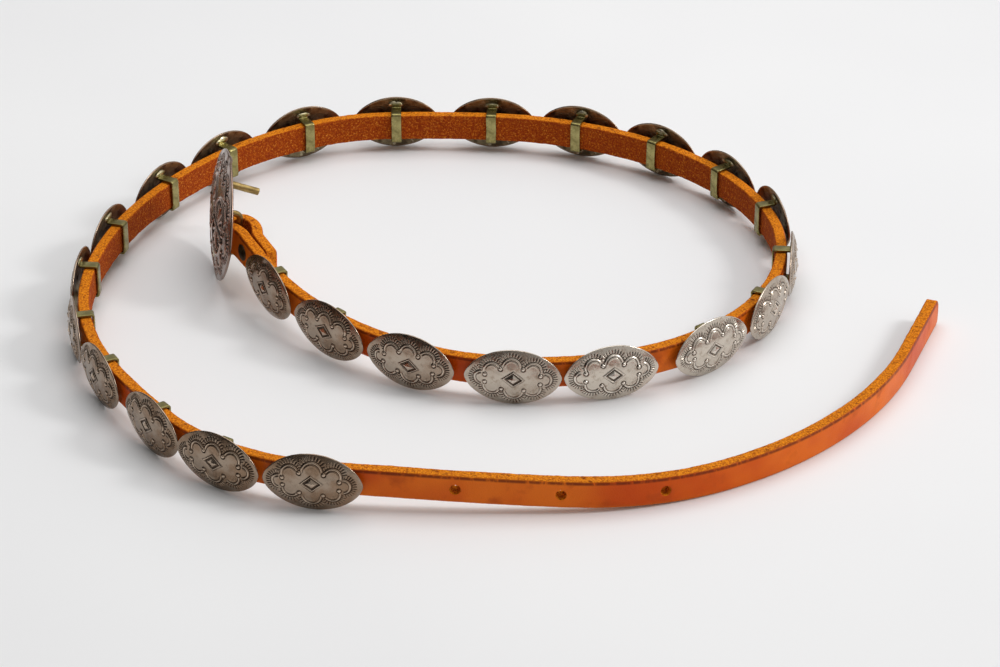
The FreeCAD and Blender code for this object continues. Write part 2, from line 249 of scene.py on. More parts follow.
# ---------------------------------------------------------------- mesh building
def new_piece(name, points, faces, layers=None, maps=None):
    """Smooth-shaded object from millimetre points; faces are arrays of equal-sized polygons.

    The faces may run either way round: they are all turned outwards here.
    """
    mesh = bpy.data.meshes.new(name)
    mesh.vertices.add(len(points))
    mesh.vertices.foreach_set("co", (np.asarray(points, float) * MM).astype(np.float32).ravel())
    corners = np.concatenate([np.asarray(group, int).ravel() for group in faces])
    totals = np.concatenate([np.full(len(group), np.shape(group)[1]) for group in faces])
    mesh.loops.add(len(corners))
    mesh.loops.foreach_set("vertex_index", corners)
    mesh.polygons.add(len(totals))
    mesh.polygons.foreach_set("loop_start", np.concatenate([[0], np.cumsum(totals)[:-1]]))
    mesh.polygons.foreach_set("loop_total", totals)
    mesh.update(calc_edges=True)
    mesh.polygons.foreach_set("use_smooth", np.ones(len(totals), bool))
    for layer, values in (layers or {}).items():
        attribute = mesh.attributes.new(layer, "FLOAT", "POINT")
        attribute.data.foreach_set("value", np.asarray(values, np.float32).ravel())
    for layer, pairs in (maps or {}).items():
        uv = mesh.uv_layers.new(name=layer)
        uv.data.foreach_set("uv", np.asarray(pairs, np.float32)[corners].ravel())
    mesh.validate()
    shell = bmesh.new()
    shell.from_mesh(mesh)
    bmesh.ops.recalc_face_normals(shell, faces=shell.faces)
    shell.to_mesh(mesh)
    shell.free()
    piece = bpy.data.objects.new(name, mesh)
    bpy.context.scene.collection.objects.link(piece)
    return piece


def turns(around):
    """Angles of the points of a ring."""
    return np.arange(around) * 2 * math.pi / around


def ring_quads(rings, around):
    """Quads that join consecutive closed rings of points."""
    ring = np.arange(rings - 1)[:, None] * around
    step = np.arange(around)[None, :]
    after = (step + 1) % around
    quads = np.stack([ring + step, ring + after, ring + around + after, ring + around + step], -1)
    return quads.reshape(-1, 4)


def fan(centre, first, around):
    """Triangles from a centre point to a ring of points."""
    step = np.arange(around)
    after = (step + 1) % around
    return np.stack([np.full(around, centre), first + step, first + after], -1)


def capped(rings, ends):
    """Closed skin over rings of points, with one more point at each end."""
    rows, around = np.shape(rings)[:2]
    points = np.concatenate([*rings, ends])
    first = rows * around
    faces = [
        ring_quads(rows, around),
        fan(first, 0, around),
        fan(first + 1, first - around, around),
    ]
    return points, faces


def dress(piece, surface, body, slot, *nodes):
    """Gives a piece its material and its body, and hides the CAD nodes that it stands for."""
    piece.data.materials.append(surface)
    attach(piece, body)
    if nodes:
        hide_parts(*nodes)
    return piece


# ---------------------------------------------------------------- materials
class Surface:
    """A material under construction; each method adds a node and returns its output."""

    def __init__(self, name, **settings):
        self.material = bpy.data.materials.new(name)
        self.material.use_nodes = True
        self.tree = self.material.node_tree
        self.shader = next(n for n in self.tree.nodes if n.type == "BSDF_PRINCIPLED")
        for socket, value in settings.items():
            self.shader.inputs[socket.replace("_", " ").title()].default_value = value

    def node(self, kind, *wires, **settings):
        made = self.tree.nodes.new("ShaderNode" + kind)
        for setting, value in settings.items():
            setattr(made, setting, value)
        for index, source in enumerate(wires):
            self.join(source, made.inputs[index])
        return made

    def join(self, source, socket):
        if isinstance(source, bpy.types.NodeSocket):
            self.tree.links.new(source, socket)
        elif source is not None:
            socket.default_value = source

    def place(self):
        return self.node("TexCoord").outputs["Object"]

    def stretched(self, vector, x, y, z):
        return self.node("Mapping", vector, None, None, (x, y, z)).outputs[0]

    def attribute(self, name):
        return self.node("Attribute", attribute_name=name).outputs["Fac"]

    def uv(self, name):
        both = self.node("SeparateXYZ", self.node("UVMap", uv_map=name).outputs[0])
        return both.outputs[0], both.outputs[1]

    def noise(self, vector, scale, detail=3.0, roughness=0.55):
        made = self.node("TexNoise", vector)
        made.inputs["Scale"].default_value = scale
        made.inputs["Detail"].default_value = detail
        made.inputs["Roughness"].default_value = roughness
        return made.outputs["Fac"]

    def cells(self, vector, scale):
        made = self.node("TexVoronoi", vector)
        made.inputs["Scale"].default_value = scale
        return made.outputs["Distance"]

    def math(self, operation, a, b=0.5, clamp=False):
        return self.node("Math", a, b, operation=operation, use_clamp=clamp).outputs[0]

    def step(self, value, low, high, to_low=0.0, to_high=1.0):
        made = self.node("MapRange", value, low, high, to_low, to_high)
        made.interpolation_type = "SMOOTHSTEP"
        return made.outputs[0]

    def between(self, share, a, b):
        return self.node("Mix", share, None, a, b).outputs[0]

    def mix(self, share, a, b):
        made = self.node("Mix", data_type="RGBA")
        self.join(share, made.inputs[0])
        self.join((*a, 1) if isinstance(a, tuple) else a, made.inputs[6])
        self.join((*b, 1) if isinstance(b, tuple) else b, made.inputs[7])
        return made.outputs[2]

    def bump(self, height, distance, strength=1.0, under=None):
        made = self.node("Bump")
        made.inputs["Strength"].default_value = strength
        made.inputs["Distance"].default_value = distance
        self.join(height, made.inputs["Height"])
        self.join(under, made.inputs["Normal"])
        return made.outputs[0]

    def finish(self, **sockets):
        for socket, source in sockets.items():
            self.join(source, self.shader.inputs[socket.replace("_", " ").title()])
        return self.material


def leather_surface():
    """Tan strap leather: glazed grain face, napped flesh face, cut fibrous edges."""
    s = Surface("strap_leather")
    s.shader.inputs["Specular IOR Level"].default_value = 0.14
    place = s.place()
    depth, across = s.uv("section")
    ragged = s.noise(place, 900, 2)
    grain = s.step(s.math("ADD", depth, s.math("MULTIPLY", ragged, 0.25)), 0.86, 1.02)
    flesh = s.step(s.math("SUBTRACT", s.math("MULTIPLY", ragged, 0.3), depth), 0.93, 1.12)

    blotch = s.noise(place, 85, 4, 0.6)
    cloud = s.noise(place, 28, 3, 0.5)
    grain_colour = s.mix(s.step(cloud, 0.35, 0.65), (0.60, 0.070, 0.002), (0.80, 0.165, 0.008))
    grain_colour = s.mix(s.step(blotch, 0.52, 0.72, 0, 0.6), grain_colour, (0.42, 0.055, 0.004))
    pores = s.cells(place, 2600)
    grain_colour = s.mix(s.step(pores, 0.0, 0.35, 0.25, 0), grain_colour, (0.20, 0.028, 0.003))
    line_noise = s.noise(s.stretched(place, 1, 1, 0.35), 700, 3, 0.7)
    crease = s.step(s.math("ABSOLUTE", s.math("SUBTRACT", across, 0.87)), 0.03, 0.17, 1, 0)
    crease = s.math("MULTIPLY", crease, s.step(line_noise, 0.24, 0.54), True)
    grain_colour = s.mix(s.math("MULTIPLY", crease, 0.8), grain_colour, (0.10, 0.016, 0.003))
    low_edge = s.step(across, -0.98, -0.72, 0.7, 0)
    grain_colour = s.mix(low_edge, grain_colour, (0.60, 0.150, 0.010))

    fibre = s.noise(place, 1500, 4, 0.75)
    tuft = s.noise(place, 420, 3, 0.65)
    edge_colour = s.mix(s.step(fibre, 0.36, 0.62), (0.42, 0.085, 0.002), (0.88, 0.290, 0.010))
    edge_colour = s.mix(s.step(tuft, 0.56, 0.70, 0, 0.8), edge_colour, (0.17, 0.024, 0.002))
    nap = s.noise(place, 1500, 4, 0.8)
    flesh_colour = s.mix(s.step(nap, 0.40, 0.60), (0.26, 0.028, 0.001), (0.50, 0.095, 0.003))
    flesh_colour = s.mix(s.step(nap, 0.58, 0.67, 0, 0.9), flesh_colour, (0.90, 0.40, 0.06))
    flesh_colour = s.mix(s.step(tuft, 0.45, 0.62, 0, 0.35), flesh_colour, (0.30, 0.040, 0.004))

    colour = s.mix(flesh, s.mix(grain, edge_colour, grain_colour), flesh_colour)
    gloss = s.step(blotch, 0.3, 0.75, 0.33, 0.48)
    rough = s.between(grain, 0.9, gloss)
    fine = s.math("MULTIPLY", s.math("SUBTRACT", 1.0, grain), fibre)
    bumped = s.bump(fine, 0.00045, 0.9)
    bumped = s.bump(s.math("MULTIPLY", grain, pores), 0.00006, 0.7, bumped)
    bumped = s.bump(s.math("MULTIPLY", grain, blotch), 0.0003, 0.5, bumped)
    return s.finish(Base_color=colour, Roughness=rough, Normal=bumped)


# Brighter silver for whole conchos that face the key light: partly real polish, partly painted light.
LIT_AND_RUBBED = (0.64, 0.58, 0.50)
SHINE = (0.88, 0.82, 0.74)


def silver_surface(name, bright, brown, dark):
    """Oxidised stamped sheet: dark in the marks and behind, worn where it stands proud.

    The mesh layers relief and behind say where the marks and the hollow side are; a third layer
    brightens whole conchos, partly real polish and partly painted light on the conchos that face the
    key light.
    """
    s = Surface(name, Metallic=1.0)
    place = s.place()
    relief = s.attribute("relief")
    behind = s.attribute("behind")
    lit_and_polished = s.attribute("lit_and_polished")
    tarnish = s.noise(place, 130, 4, 0.6)
    stain = s.noise(place, 420, 3, 0.65)
    base = s.mix(s.step(tarnish, 0.38, 0.62), bright, brown)
    base = s.mix(s.step(stain, 0.54, 0.70, 0, 0.5), base, tuple(0.62 * c for c in brown))
    # Whole conchos brightened by their polish layer: partly real polish, partly painted light where
    # they face the key light.
    base = s.mix(s.math("MULTIPLY", lit_and_polished, s.step(stain, 0.66, 0.50, 0.45, 0.9)), base, LIT_AND_RUBBED)
    cavity = s.step(s.math("ADD", relief, s.math("MULTIPLY", stain, 0.06)), -0.09, 0.025, 1, 0)
    base = s.mix(s.math("MULTIPLY", cavity, 0.88), base, dark)
    worn = s.step(relief, 0.10, 0.22, 0, 0.8)
    # The worn high points of those conchos are brighter still: partly painted light.
    shine = s.mix(lit_and_polished, tuple(min(1.0, 1.75 * c) for c in bright), SHINE)
    base = s.mix(worn, base, shine)
    scorch = s.mix(s.step(tarnish, 0.42, 0.60), (0.11, 0.085, 0.052), (0.36, 0.30, 0.175))
    scorch = s.mix(s.step(stain, 0.57, 0.66, 0, 0.8), scorch, (0.52, 0.47, 0.32))
    colour = s.mix(behind, base, scorch)
    scratch = s.noise(s.stretched(place, 900, 4200, 900), 1, 2, 0.5)
    rough = s.math("ADD", s.step(tarnish, 0.3, 0.7, 0.16, 0.30), s.math("MULTIPLY", cavity, 0.2))
    rough = s.math("ADD", rough, s.math("MULTIPLY", behind, 0.18), True)
    bumped = s.bump(scratch, 0.00002, 0.5)
    bumped = s.bump(s.noise(place, 260, 3), 0.00016, 0.6, bumped)
    return s.finish(Base_color=colour, Roughness=rough, Normal=bumped)


def brass_surface(name, light, dull, rough_low, rough_high):
    """Aged brass strip or rod with rubbed lighter patches and fine drag marks."""
    s = Surface(name, Metallic=1.0)
    place = s.place()
    patch = s.noise(place, 300, 4, 0.6)
    fine = s.noise(place, 2400, 3, 0.6)
    colour = s.mix(s.step(patch, 0.36, 0.66), dull, light)
    colour = s.mix(s.step(fine, 0.58, 0.74, 0, 0.5), colour, tuple(0.4 * c for c in dull))
    rough = s.step(patch, 0.3, 0.7, rough_high, rough_low)
    drag = s.noise(s.stretched(place, 700, 700, 5200), 1, 2)
    bumped = s.bump(drag, 0.00002, 0.5)
    bumped = s.bump(patch, 0.00012, 0.5, bumped)
    return s.finish(Base_color=colour, Roughness=rough, Normal=bumped)


LEATHER = leather_surface()
SILVER = silver_surface(
    "oxidised_silver", (0.35, 0.275, 0.210), (0.27, 0.18, 0.118), (0.032, 0.018, 0.012),
)
PLATE_SILVER = silver_surface(
    "buckle_silver", (0.30, 0.215, 0.175), (0.20, 0.125, 0.09), (0.018, 0.007, 0.004),
)
KEEPER_BRASS = brass_surface("keeper_brass", (0.36, 0.315, 0.13), (0.20, 0.17, 0.065), 0.22, 0.38)
ROD_BRASS = brass_surface("rod_brass", (0.46, 0.33, 0.13), (0.20, 0.13, 0.045), 0.28, 0.45)
SOLDER = brass_surface("solder", (0.86, 0.80, 0.60), (0.44, 0.38, 0.22), 0.22, 0.42)
# Near-black brass for the hidden fold rivet: the rivet is a guessed fastener, and its near-black colour
# is painted shade for the dark gap between the buckle plate and the strap.
SHADE_DARK_RIVET_BRASS = brass_surface("rivet_brass_painted_shade", (0.10, 0.07, 0.045), (0.035, 0.025, 0.02), 0.40, 0.60)

# ---------------------------------------------------------------- the strap
PROFILE_POINTS = 76
STATION_STEP = 0.42
END_STEPS = (0.04, 0.12, 0.25, 0.7, 1.1)    # extra rings near a free end
END_ROUND = 0.45
CAP_RINGS = (0.86, 0.7, 0.5, 0.28)
GRAIN_ROUND = 0.75
FLESH_ROUND = 0.40
SEAM_MARGIN = 4
TAIL_BEND = 30
FOLD_ARC = math.pi * FOLD_RADIUS
FOLD_LENGTH = FLAP_LENGTH + FOLD_ARC


def strap_profile():
    """Outline of the strap's section: depth towards the grain face, height, and normals."""
    rounds = ((1, -1, GRAIN_ROUND), (1, 1, GRAIN_ROUND), (-1, 1, FLESH_ROUND), (-1, -1, FLESH_ROUND))
    outline = [(0.0, -STRAP_HALF_WIDTH)]
    for index, (depth, height, radius) in enumerate(rounds):
        centre = (
            depth * (STRAP_HALF_THICK - radius),
            height * (STRAP_HALF_WIDTH - radius),
        )
        for part in range(9):
            angle = math.radians(-90 + 90 * index + 90 * part / 8)
            outline.append((
                centre[0] + radius * math.cos(angle),
                centre[1] + radius * math.sin(angle),
            ))
    outline = np.array(outline + outline[:1])
    lengths = np.hypot(*np.diff(outline, axis=0).T)
    reach = np.concatenate([[0], np.cumsum(lengths)])
    places = np.arange(PROFILE_POINTS) * reach[-1] / PROFILE_POINTS
    depth = np.interp(places, reach, outline[:, 0])
    height = np.interp(places, reach, outline[:, 1])
    ring = np.stack([depth, height], 1)
    ahead = np.roll(ring, -1, 0) - np.roll(ring, 1, 0)
    ahead /= np.linalg.norm(ahead, axis=1)[:, None]
    return depth, height, ahead[:, 1], -ahead[:, 0], places


def flap_spot(along):
    """Centre of the flap beside a station: it leaves the turn and closes on the strap."""
    here, heading = point_at(along)
    closed = 2 * STRAP_HALF_THICK + FLAP_SLIT
    away = closed + (2 * FOLD_RADIUS - closed) * (1 - ramp(along / FLAP_CLOSE))
    return here - outward(heading) * away


def strap_frames(stations):
    """Centres, grain directions and upward directions; the fold has negative stations."""
    centres = []
    grains = []
    ups = []
    start, start_heading = point_at(0.0)
    forward = Vector((math.cos(start_heading), math.sin(start_heading), 0))
    for station in stations:
        if station >= 0:
            spot, heading = point_at(station)
            side = outward(heading)
            up = lean_at(station)
        elif station > -FOLD_ARC:
            angle = math.pi * (1 + station / FOLD_ARC)
            normal = outward(start_heading)
            side = normal * -math.cos(angle) - forward * math.sin(angle)
            spot = start - normal * FOLD_RADIUS + side * FOLD_RADIUS
            up = lean_at(0.0)
        else:
            along = -FOLD_ARC - station
            spot = flap_spot(along)
            way = flap_spot(along + 0.5) - flap_spot(max(along - 0.5, 0.0))
            side = Vector((-way.y, way.x, 0)).normalized()
            up = lean_at(along)
        centres.append(spot)
        grains.append((side - up * side.dot(up)).normalized())
        ups.append(up)
    return np.array(centres), np.array(grains), np.array(ups)


def leather_relief(stations, profile):
    """Roughness of the cut edges and nap, and the creased line below the top edge."""
    depth, height, _out, _high, places = profile
    s = stations[:, None]
    p = places[None, :]
    grain = smooth_step(1.35, 1.9, depth)[None, :]
    flesh = smooth_step(1.5, 1.95, -depth)[None, :]
    edge = 1 - grain - flesh
    fine = lattice_noise(s / 0.85, p / 0.8, 11)
    rough = lattice_noise(s / 2.6, p / 1.7, 12)
    slow = fractal(s / 16, p / 7, 13)
    crease = hump(height - 4.05, 0.25)[None, :] * (0.7 + 0.5 * lattice_noise(s / 3.1, p * 0, 14))
    bulge = 0.10 * (1 - (height / STRAP_HALF_WIDTH) ** 2)[None, :]
    out = grain * (0.06 * slow + bulge - 0.16 * crease)
    out = out + edge * (0.075 * fine + 0.07 * rough + 0.05 * slow)
    out = out + flesh * (0.05 * fine + 0.06 * rough + 0.09 * slow)
    return out


def end_rings(stations, first, last, corner):
    """Height factor and inset of each ring: both round the strap off at its free ends."""
    factor = np.ones(len(stations))
    inset = np.zeros(len(stations))
    for end, free in ((stations[0], first), (stations[-1], last)):
        if not free:
            continue
        away = np.abs(stations - end)
        within = np.clip(corner - away, 0, corner)
        drop = corner - np.sqrt(corner ** 2 - within ** 2)
        factor -= drop / STRAP_HALF_WIDTH
        within = np.clip(END_ROUND - away, 0, END_ROUND)
        inset += END_ROUND - np.sqrt(END_ROUND ** 2 - within ** 2)
    return factor, inset


def strap_piece(name, first, last, free_first=False, free_last=False, corner=2.0):
    """Closed leather strap between two stations, with caps at both ends."""
    profile = strap_profile()
    depth, height, out_depth, out_height, _places = profile
    count = max(2, round((last - first) / STATION_STEP))
    stations = np.linspace(first, last, count + 1)
    if free_first:
        stations = np.concatenate([stations, [first + step for step in END_STEPS]])
    if free_last:
        stations = np.concatenate([stations, [last - step for step in END_STEPS]])
    stations = np.unique(np.round(stations, 4))
    centres, grains, ups = strap_frames(stations)
    factor, inset = end_rings(stations, free_first, free_last, corner)
    out = leather_relief(stations, profile) - inset[:, None]
    a = depth[None, :] + out_depth[None, :] * out
    b = height[None, :] * factor[:, None] + out_height[None, :] * out
    points = centres[:, None, :] + grains[:, None, :] * a[..., None] + ups[:, None, :] * b[..., None]
    rows = len(stations)
    around = PROFILE_POINTS
    section = np.stack([
        np.broadcast_to(depth / STRAP_HALF_THICK, (rows, around)),
        np.broadcast_to(height / STRAP_HALF_WIDTH, (rows, around)),
    ], -1).reshape(-1, 2)
    points = points.reshape(-1, 3)
    faces = [ring_quads(rows, around)]
    for row in (0, rows - 1):
        ring = points[row * around:(row + 1) * around]
        previous = row * around
        middle = ring.mean(0)
        for share in CAP_RINGS:
            start = len(points)
            points = np.concatenate([points, middle + (ring - middle) * share])
            section = np.concatenate([section, np.zeros((around, 2))])
            step = np.arange(around)
            after = (step + 1) % around
            faces.append(np.stack([start + step, start + after, previous + after, previous + step], -1))
            previous = start
        points = np.concatenate([points, [middle]])
        section = np.concatenate([section, [[0.0, 0.0]]])
        faces.append(fan(len(points) - 1, previous, around))
    return new_piece(name, points, faces, maps={"section": section})


def hole_cutter(station):
    """Turned tool for one worn hole, wide at the grain face and narrow at the flesh side."""
    here, tangent, normal, up = (np.array(way) for way in frame_at(station))
    reach = (-3.0, -2.2, -2.0, -1.8, -1.4, -0.4, 0.6, 1.5, 1.85, 2.05, 3.0)
    spread = (-0.75, -0.72, -0.70, -0.62, -0.48, -0.2, -0.02, 0.0, 0.06, 0.16, 0.25)
    around = 56
    angle = turns(around)
    rings = []
    for depth, flare in zip(reach, spread):
        wobble = 0.05 * lattice_noise(angle * 3, angle * 0 + depth, int(station))
        radius = HOLE_RADIUS + flare + wobble
        rings.append(
            here[None, :] + normal[None, :] * depth
            + np.outer(np.cos(angle) * radius, tangent)
            + np.outer(np.sin(angle) * radius, up)
        )
    points, faces = capped(rings, [here + normal * reach[0], here + normal * reach[-1]])
    section = np.tile([[0.0, 0.1]], (len(points), 1))
    return new_piece("hole_cutter", points, faces, maps={"section": section})


def punch_holes(tail):
    """Cuts the holes and keeps the result as the tail's mesh."""
    first = concho_station(CONCHOS) + FIRST_HOLE
    cutters = [hole_cutter(first + HOLE_PITCH * index) for index in range(HOLES)]
    for cutter in cutters:
        cut = tail.modifiers.new("punch", "BOOLEAN")
        cut.operation = "DIFFERENCE"
        cut.solver = "EXACT"
        cut.object = cutter
    graph = bpy.context.evaluated_depsgraph_get()
    punched = bpy.data.meshes.new_from_object(tail.evaluated_get(graph))
    tail.modifiers.clear()
    tail.data = punched
    for cutter in cutters:
        bpy.data.objects.remove(cutter)


def make_strap():
    """The strap in six lengths whose seams lie under keeper loops."""
    seams = {number: concho_station(number) for number in (8, 9, 19, 20, 24)}
    buckle_end = strap_piece("strap_at_buckle", -FOLD_LENGTH, seams[8], free_first=True, corner=1.2)
    dress(buckle_end, LEATHER, "buckle_run", "leather", "strap_buckle_run")
    back = strap_piece("strap_at_back", seams[9], seams[19])
    dress(back, LEATHER, "back_run", "leather", "strap_back_run")
    front = strap_piece("strap_at_front", seams[20], seams[24])
    dress(front, LEATHER, "front_run", "leather", "strap_front_run")

    right = strap_piece("strap_right_bend", seams[8], seams[9])
    bend_across(right, seams[8] + SEAM_MARGIN, seams[9] - SEAM_MARGIN)
    left = strap_piece("strap_left_bend", seams[19], seams[20])
    bend_across(left, seams[19] + SEAM_MARGIN, seams[20] - SEAM_MARGIN)
    tail = strap_piece("strap_punched_tail", seams[24], STRAP_LENGTH, free_last=True)
    punch_holes(tail)
    bent = seams[24] + SEAM_MARGIN
    bend_across(tail, bent, bent + TAIL_BEND)
    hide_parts("strap_tail")


def bend_across(piece, first, last):
    """Gives a length of strap the leather when it has none and bakes its placement into the mesh; the
    points at the two stations are worked out but not used.
    """
    if not piece.data.materials:
        piece.data.materials.append(LEATHER)
    point_at(first)[0] * MM
    point_at(last)[0] * MM
    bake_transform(piece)


# ---------------------------------------------------------------- domed stamped ovals
def domed_sheet(name, half_length, half_height, power, profile, stamp, rings, around):
    """Pointed oval of sheet metal, its rings laid from the front's middle round to the back's.

    The profile gives the front's height, the sheet's thickness and its edge; stamp, the marks.
    """
    theta = turns(around)
    rim_x = half_length * np.cos(theta)
    rim_y = half_height * np.sign(np.sin(theta)) * np.abs(np.sin(theta)) ** power
    front = np.linspace(1, 0, rings, endpoint=False) ** 0.92
    back = np.linspace(0, 1, rings // 3, endpoint=False)[1:]
    inset = profile["edge"] / half_height
    points = []
    relief = []
    behind = []

    def ring(share, height, marks, is_back):
        points.append(np.stack([rim_x * share, rim_y * share, height], -1))
        relief.append(marks)
        behind.append(np.full(around, is_back))

    for share in front * (1 - inset):
        marks = stamp(rim_x * share, rim_y * share)
        ring(share, profile["front"](share, theta) + marks, marks, 0.0)
    points = points[::-1]
    relief = relief[::-1]
    behind = behind[::-1]
    thick = profile["thick"]
    warp = profile["front"](1 - inset, theta)
    for angle in np.radians((30, 60, 90, 120, 150)):
        share = 1 - inset + inset * math.sin(angle)
        height = warp - thick / 2 + thick / 2 * math.cos(angle)
        ring(share, height, np.full(around, 0.12), 0.0)
    for share in back[::-1] * (1 - inset):
        marks = stamp(rim_x * share, rim_y * share)
        pressed = profile["front"](share, theta) - thick + 0.45 * marks
        ring(share, pressed, 0.3 * marks, 1.0)
    crown = profile["front"](0.0, theta[:1])[0]
    struck = stamp(np.zeros(1), np.zeros(1))[0]
    points, faces = capped(points, [[0, 0, crown + struck], [0, 0, crown - thick]])
    relief = np.concatenate(relief + [[0.2, 0.0]])
    behind = np.concatenate(behind + [[0.0, 1.0]])
    return new_piece(name, points, faces, layers={"relief": relief, "behind": behind})


SCALLOPS = [  # centre, facing direction in degrees, radius
    (10.2, 0.0, 0, 2.2), (6.6, 3.0, 62, 2.6), (0.0, 3.9, 90, 3.0), (-6.6, 3.0, 118, 2.6),
    (-10.2, 0.0, 180, 2.2), (-6.6, -3.0, 242, 2.6), (0.0, -3.9, 270, 3.0), (6.6, -3.0, 298, 2.6),
]
RAYS = 13
RAY_FAN = 84.0
BEAD_OUTWARD = 1.06
LOZENGE_HALF_LENGTH = 3.5
LOZENGE_HALF_HEIGHT = 2.75
CONCHO_POWER = 1.24     # above 1 the oval's ends are pointed
CONCHO_SHEET = 0.62
CONCHO_DOME = 1.95
CONCHO_EDGE = 0.30


def lozenge(x, y, half_length, half_height):
    """Raised frame, sunk channel and four-sided boss."""
    q = np.abs(x) / half_length + np.abs(y) / half_height
    frame = 0.22 * hump(q - 0.95, 0.085)
    channel = -0.15 * smooth_step(0.57, 0.65, q) * (1 - smooth_step(0.78, 0.88, q))
    boss = 0.62 * np.clip((0.62 - q) / 0.62, 0, 1) ** 0.9
    outside = -0.08 * hump(q - 1.13, 0.07)
    return frame + channel + boss + outside


def scallop_marks(x, y, scallops, rays, scale=1.0, depth=1.0):
    """Double arcs with short rays outside them, and a bead wherever two meet."""
    nearest = np.full(np.shape(x), 1e9)
    marks = np.zeros(np.shape(x))
    for cx, cy, facing, radius in scallops:
        reach = np.hypot(x - cx, y - cy)
        angle = np.degrees(np.arctan2(y - cy, x - cx)) - facing
        angle = (angle + 180) % 360 - 180
        spread = 1 - smooth_step(RAY_FAN - 2, RAY_FAN + 8, np.abs(angle))
        arc = 0.20 * hump(reach - radius, 0.27 * scale)
        arc = arc - 0.15 * hump(reach - radius - 0.50 * scale, 0.20 * scale)
        arc = arc + 0.10 * hump(reach - radius + 0.85 * scale, 0.24 * scale)
        arc = arc - 0.12 * hump(reach - radius + 0.45 * scale, 0.20 * scale)
        comb = np.clip(np.cos(np.radians(angle) * rays * 180 / RAY_FAN), 0, 1) ** 1.5
        band = smooth_step(radius + 0.55 * scale, radius + 0.85 * scale, reach)
        band = band * (1 - smooth_step(radius + 1.7 * scale, radius + 2.2 * scale, reach))
        here = arc * spread - 0.30 * comb * band * spread + 0.10 * band * spread
        closer = reach - radius < nearest
        marks = np.where(closer, here * depth, marks)
        nearest = np.where(closer, reach - radius, nearest)
    following = scallops[1:] + scallops[:1]
    for (ax, ay, _f, ar), (bx, by, _g, br) in zip(scallops, following):
        share = ar / (ar + br)
        px = (ax + (bx - ax) * share) * BEAD_OUTWARD
        py = (ay + (by - ay) * share) * BEAD_OUTWARD
        reach = np.hypot(x - px, y - py)
        size = 0.62 * scale
        bead = 0.30 * np.sqrt(np.clip(1 - (reach / size) ** 2, 0, 1))
        ditch = -0.15 * hump(reach - size - 0.12 * scale, 0.16 * scale)
        cover = smooth_step(size * 0.95, size * 1.25, reach)
        marks = marks * cover + (bead + ditch) * depth
    return marks


def concho_stamp(number):
    """The marks of one concho, each struck a little differently."""
    rng = np.random.default_rng(400 + number)
    struck = [
        (
            cx + rng.normal(0, 0.22), cy + rng.normal(0, 0.20),
            facing + rng.normal(0, 5), radius + rng.normal(0, 0.12),
        )
        for cx, cy, facing, radius in SCALLOPS
    ]
    shift = rng.normal(0, 0.35, 2)
    turn = rng.normal(0, 0.09)
    depth = rng.uniform(0.95, 1.35)

    def stamp(x, y):
        marks = scallop_marks(x, y, struck, RAYS, 1.0, depth)
        u = (x - shift[0]) * math.cos(turn) + (y - shift[1]) * math.sin(turn)
        v = (y - shift[1]) * math.cos(turn) - (x - shift[0]) * math.sin(turn)
        dents = 0.035 * lattice_noise(x / 2.3, y / 2.3, 60 + number)
        return marks + lozenge(u, v, LOZENGE_HALF_LENGTH, LOZENGE_HALF_HEIGHT) + dents

    return stamp


def concho_profile(number):
    """Height of the dome above the rim plane, with a slight warp of its own."""
    rng = np.random.default_rng(700 + number)
    phase = rng.uniform(0, 2 * math.pi)
    warp = rng.uniform(0.0, 0.14)

    def front(share, theta):
        dome = CONCHO_DOME * (1 - share ** 2.25)
        return CONCHO_SHEET + dome + warp * share ** 2 * np.cos(2 * theta + phase)

    return {"front": front, "thick": CONCHO_SHEET, "edge": CONCHO_EDGE}


def blob(seed, centre, radii, around=20, rings=12):
    """Irregular drop of solder as points and faces."""
    x, y, z = centre
    wide, deep, high = radii
    angle = turns(around)
    drop = []
    for row in range(1, rings):
        lift = math.pi * row / rings
        lump = 1 + 0.22 * lattice_noise(
            np.cos(angle) * 1.3 + 7, np.sin(angle) * 1.3 + row * 0.4, seed,
        )
        drop.append(np.stack([
            x + wide * math.sin(lift) * np.cos(angle) * lump,
            y + deep * math.sin(lift) * np.sin(angle) * lump,
            z - high * math.cos(lift) * np.ones(around),
        ], -1))
    return capped(drop, [[x, y, z - high], [x, y, z + high]])


def gathered(parts):
    """Joins several (points, faces) lists into one."""
    points = []
    faces = []
    offset = 0
    for part_points, part_faces in parts:
        points.append(part_points)
        faces.extend(np.asarray(group) + offset for group in part_faces)
        offset += len(part_points)
    return np.concatenate(points), faces


def rounded_path(corners, radius, steps=7):
    """Plane path through corners, each rounded by an arc of the given radius."""
    path = [corners[0]]
    for before, here, after in zip(corners, corners[1:], corners[2:]):
        a = (before - here) / np.linalg.norm(before - here)
        b = (after - here) / np.linalg.norm(after - here)
        half = math.acos(float(np.clip(a @ b, -1, 1))) / 2
        away = radius / math.tan(half)
        centre = here + (a + b) / np.linalg.norm(a + b) * radius / math.sin(half)
        first = here + a * away - centre
        last = here + b * away - centre
        for step in range(steps + 1):
            share = step / steps
            mixed = first * (1 - share) + last * share
            path.append(centre + mixed / np.linalg.norm(mixed) * radius)
    path.append(corners[-1])
    return np.array(path)


def divided(path, step):
    """The same path with more points, so that it can be swept or swayed smoothly."""
    fine = [path[0]]
    for a, b in zip(path, path[1:]):
        parts = max(1, int(np.linalg.norm(b - a) / step))
        fine.extend(a + (b - a) * (i + 1) / parts for i in range(parts))
    return np.array(fine)


def swept(path, outline):
    """Closed bar of a given section, (X, sideways) pairs, along a path in a YZ plane."""
    across = np.array([1.0, 0, 0])
    ahead = np.gradient(path, axis=0)
    ahead /= np.linalg.norm(ahead, axis=1)[:, None]
    side = np.cross(across, ahead)
    rings = (
        path[:, None, :] + across[None, None, :] * outline[None, :, :1]
        + side[:, None, :] * outline[None, :, 1:]
    )
    return capped(rings, [path[0], path[-1]])


